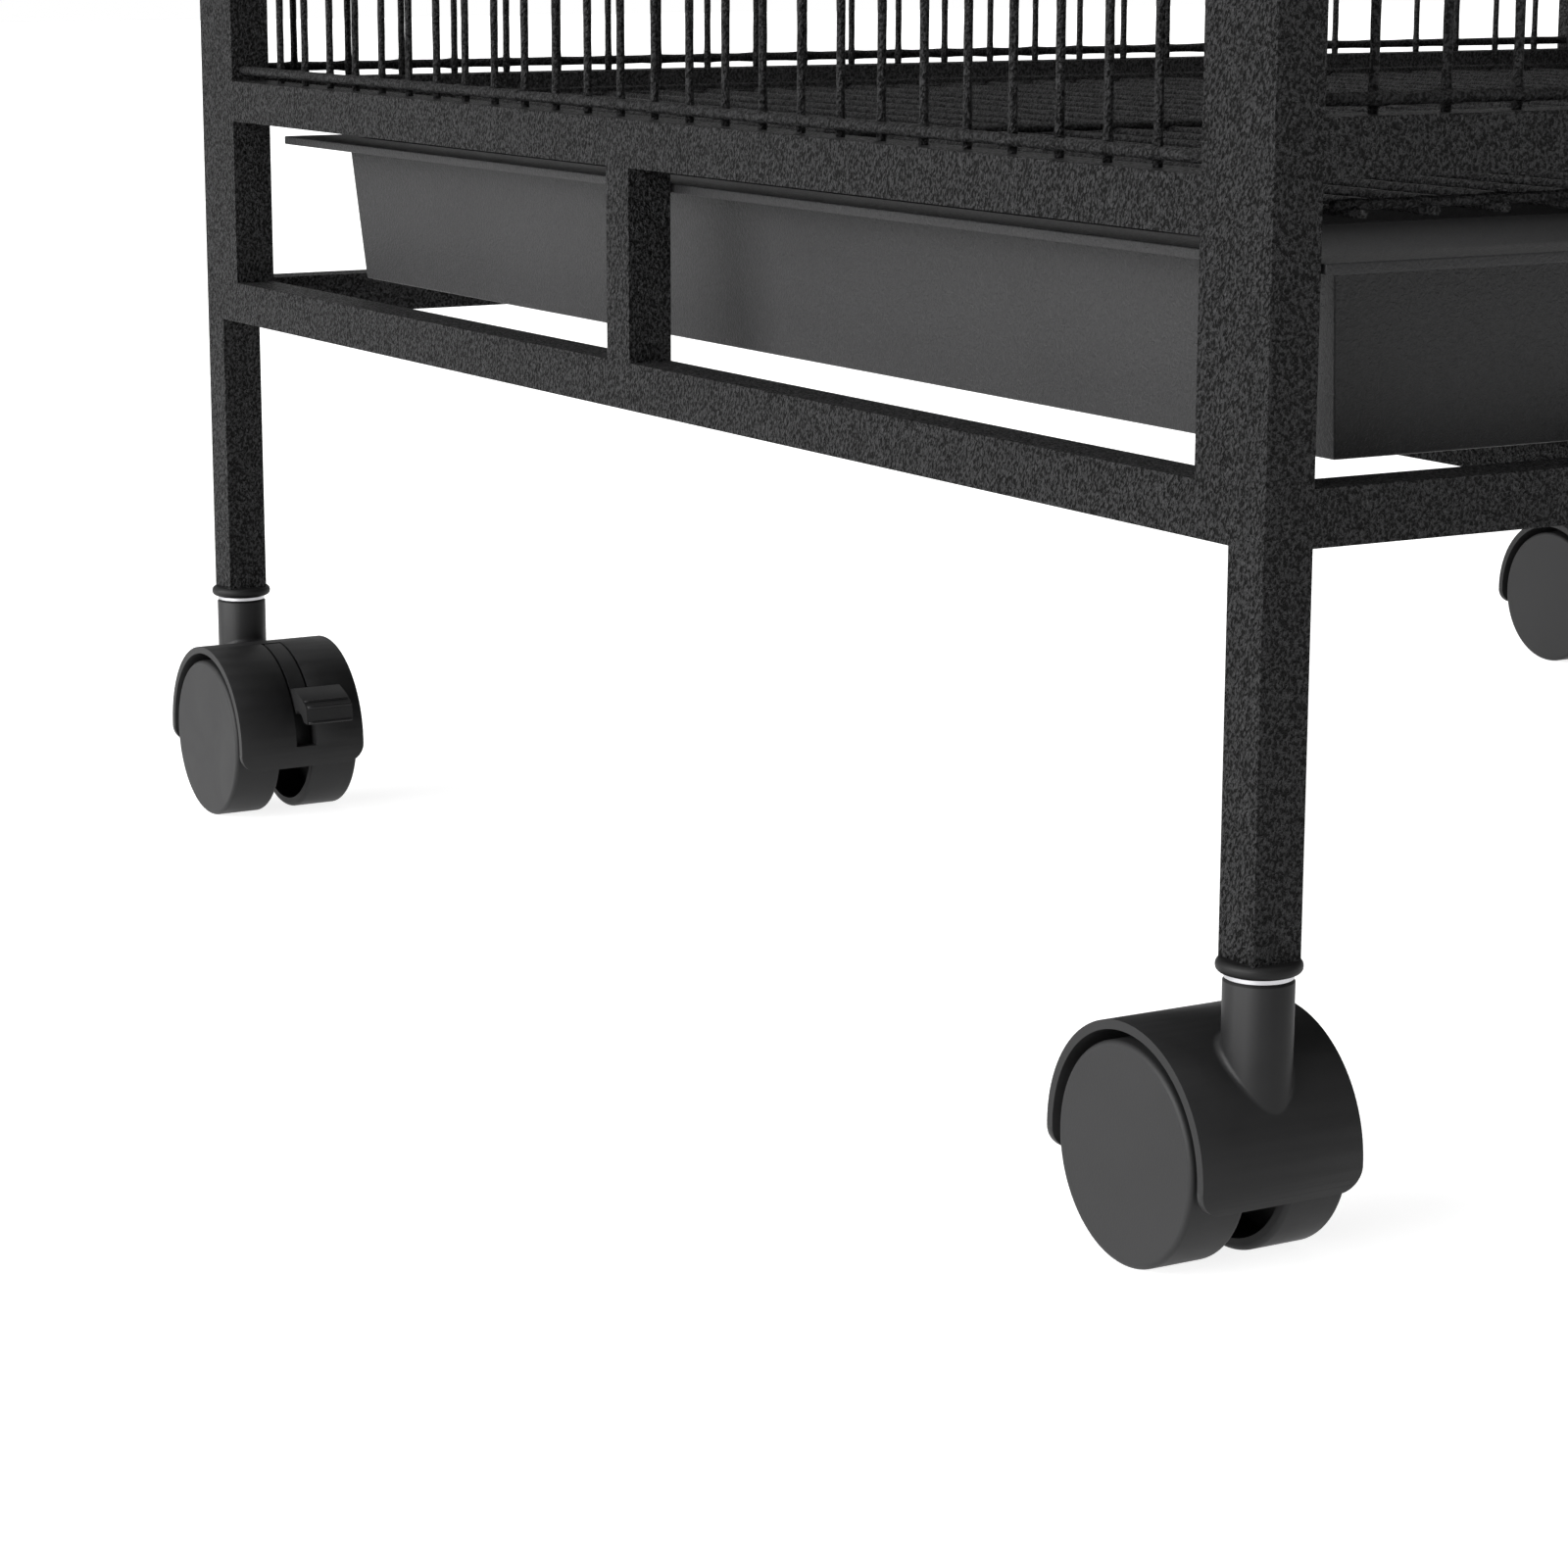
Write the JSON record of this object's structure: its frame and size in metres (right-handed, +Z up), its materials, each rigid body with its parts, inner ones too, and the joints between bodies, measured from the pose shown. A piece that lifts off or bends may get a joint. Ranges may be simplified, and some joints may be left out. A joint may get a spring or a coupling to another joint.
{
  "type": "bird cage",
  "caption": "Tall square wire bird cage of square steel tube on short legs with twin-wheel swivel casters, pull-out tray and grate, hinged doors, feed cups and perches.",
  "frame": {"origin": "on the floor under the middle of the cage", "axes": "+X to the cage's right seen from the front, +Y to its back, +Z up"},
  "size_m": [0.4796, 0.4726, 1.35],
  "materials": {
    "powder_coat": "hammered black powder coat",
    "coated_wire": "black powder coat over round wire",
    "tray_plastic": "fine leathered dark grey",
    "caster_plastic": "satin black moulded plastic",
    "wheel_plastic": "satin dark grey moulded plastic",
    "black_plastic": "satin",
    "caster_steel": "bright zinc plated",
    "screw_steel": "zinc plated",
    "cup_plastic": "smooth black",
    "perch_wood": "bare turned dowel"
  },
  "bodies": {
    "cage": {"front_left_post": "powder_coat", "front_right_post": "powder_coat", "rear_left_post": "powder_coat", "rear_right_post": "powder_coat", "post_caps": "black_plastic", "left_side_frame": "powder_coat", "right_side_frame": "powder_coat", "back_frame": "powder_coat", "front_frame": "powder_coat", "roof_frame": "powder_coat", "latch_keeper": "powder_coat", "tray_runners": "powder_coat", "grate_ledges": "powder_coat", "left_side_wires": "coated_wire", "right_side_wires": "coated_wire", "back_wires": "coated_wire", "front_wires": "coated_wire", "roof_wires": "coated_wire", "frame_screws": "screw_steel", "door_hinge_pins": "screw_steel", "perch_hardware": "screw_steel", "feed_cups": "cup_plastic", "perches": "perch_wood", "front_left_caster_socket": "caster_plastic", "front_right_caster_socket": "caster_plastic", "rear_left_caster_socket": "caster_plastic", "rear_right_caster_socket": "caster_plastic"},
    "main_door": {"door_frame": "powder_coat", "door_wires": "coated_wire", "latch_plate": "powder_coat"},
    "latch_bolt": {"latch_bolt": "screw_steel"},
    "left_feeder_door": {"left_feeder_door": "coated_wire"},
    "right_feeder_door": {"right_feeder_door": "coated_wire"},
    "tray": {"tray": "tray_plastic"},
    "grate": {"grate": "coated_wire"},
    "front_left_swivel": {"front_left_caster_stem": "caster_steel", "front_left_caster_housing": "caster_plastic", "front_left_caster_axle": "caster_steel"},
    "front_left_left_wheel": {"front_left_caster_left_wheel": "wheel_plastic"},
    "front_left_right_wheel": {"front_left_caster_right_wheel": "wheel_plastic"},
    "front_right_swivel": {"front_right_caster_stem": "caster_steel", "front_right_caster_housing": "caster_plastic", "front_right_caster_axle": "caster_steel"},
    "front_right_left_wheel": {"front_right_caster_left_wheel": "wheel_plastic"},
    "front_right_right_wheel": {"front_right_caster_right_wheel": "wheel_plastic"},
    "rear_left_swivel": {"rear_left_caster_stem": "caster_steel", "rear_left_caster_housing": "caster_plastic", "rear_left_caster_axle": "caster_steel"},
    "rear_left_brake": {"rear_left_caster_brake": "caster_plastic"},
    "rear_left_left_wheel": {"rear_left_caster_left_wheel": "wheel_plastic"},
    "rear_left_right_wheel": {"rear_left_caster_right_wheel": "wheel_plastic"},
    "rear_right_swivel": {"rear_right_caster_stem": "caster_steel", "rear_right_caster_housing": "caster_plastic", "rear_right_caster_axle": "caster_steel"},
    "rear_right_brake": {"rear_right_caster_brake": "caster_plastic"},
    "rear_right_left_wheel": {"rear_right_caster_left_wheel": "wheel_plastic"},
    "rear_right_right_wheel": {"rear_right_caster_right_wheel": "wheel_plastic"}
  },
  "joints": [
    {"name": "tray_slide", "type": "slide", "parent": "cage", "child": "tray", "axis": [0, -1, 0], "range_m": [0, 0.4]},
    {"name": "grate_slide", "type": "slide", "parent": "cage", "child": "grate", "axis": [0, 1, 0], "range_m": [-0.4, 0]},
    {"name": "main_door_hinge", "type": "hinge", "parent": "cage", "child": "main_door", "pos_m": [-0.13817, -0.2305, 0.65], "axis": [0, 0, -1], "range_deg": [0, 160]},
    {"name": "latch_slide", "type": "slide", "parent": "main_door", "child": "latch_bolt", "axis": [1, 0, 0], "range_m": [0, 0.011]},
    {"name": "left_feeder_hinge", "type": "hinge", "parent": "cage", "child": "left_feeder_door", "pos_m": [-0.223, 0.05264, 0.69], "axis": [0, 0, -1], "range_deg": [0, 110]},
    {"name": "right_feeder_hinge", "type": "hinge", "parent": "cage", "child": "right_feeder_door", "pos_m": [0.223, 0.05264, 0.69], "axis": [0, 0, 1], "range_deg": [0, 110]},
    {"name": "front_left_swivel", "type": "hinge", "parent": "cage", "child": "front_left_swivel", "pos_m": [-0.223, -0.2225, 0.054], "axis": [0, 0, 1], "continuous": true},
    {"name": "front_left_left_spin", "type": "hinge", "parent": "front_left_swivel", "child": "front_left_left_wheel", "pos_m": [-0.223, -0.2075, 0.02], "axis": [1, 0, 0], "continuous": true},
    {"name": "front_left_right_spin", "type": "hinge", "parent": "front_left_swivel", "child": "front_left_right_wheel", "pos_m": [-0.223, -0.2075, 0.02], "axis": [1, 0, 0], "continuous": true},
    {"name": "front_right_swivel", "type": "hinge", "parent": "cage", "child": "front_right_swivel", "pos_m": [0.223, -0.2225, 0.054], "axis": [0, 0, 1], "continuous": true},
    {"name": "front_right_left_spin", "type": "hinge", "parent": "front_right_swivel", "child": "front_right_left_wheel", "pos_m": [0.223, -0.2075, 0.02], "axis": [1, 0, 0], "continuous": true},
    {"name": "front_right_right_spin", "type": "hinge", "parent": "front_right_swivel", "child": "front_right_right_wheel", "pos_m": [0.223, -0.2075, 0.02], "axis": [1, 0, 0], "continuous": true},
    {"name": "rear_left_swivel", "type": "hinge", "parent": "cage", "child": "rear_left_swivel", "pos_m": [-0.223, 0.2225, 0.054], "axis": [0, 0, 1], "continuous": true},
    {"name": "rear_left_left_spin", "type": "hinge", "parent": "rear_left_swivel", "child": "rear_left_left_wheel", "pos_m": [-0.223, 0.2075, 0.02], "axis": [1, 0, 0], "continuous": true},
    {"name": "rear_left_right_spin", "type": "hinge", "parent": "rear_left_swivel", "child": "rear_left_right_wheel", "pos_m": [-0.223, 0.2075, 0.02], "axis": [1, 0, 0], "continuous": true},
    {"name": "rear_left_brake", "type": "hinge", "parent": "rear_left_swivel", "child": "rear_left_brake", "pos_m": [-0.223, 0.2045, 0.041], "axis": [1, 0, 0], "range_deg": [0, 2.2]},
    {"name": "rear_right_swivel", "type": "hinge", "parent": "cage", "child": "rear_right_swivel", "pos_m": [0.223, 0.2225, 0.054], "axis": [0, 0, 1], "continuous": true},
    {"name": "rear_right_left_spin", "type": "hinge", "parent": "rear_right_swivel", "child": "rear_right_left_wheel", "pos_m": [0.223, 0.2075, 0.02], "axis": [1, 0, 0], "continuous": true},
    {"name": "rear_right_right_spin", "type": "hinge", "parent": "rear_right_swivel", "child": "rear_right_right_wheel", "pos_m": [0.223, 0.2075, 0.02], "axis": [1, 0, 0], "continuous": true},
    {"name": "rear_right_brake", "type": "hinge", "parent": "rear_right_swivel", "child": "rear_right_brake", "pos_m": [0.223, 0.2045, 0.041], "axis": [1, 0, 0], "range_deg": [0, 2.2]}
  ]
}
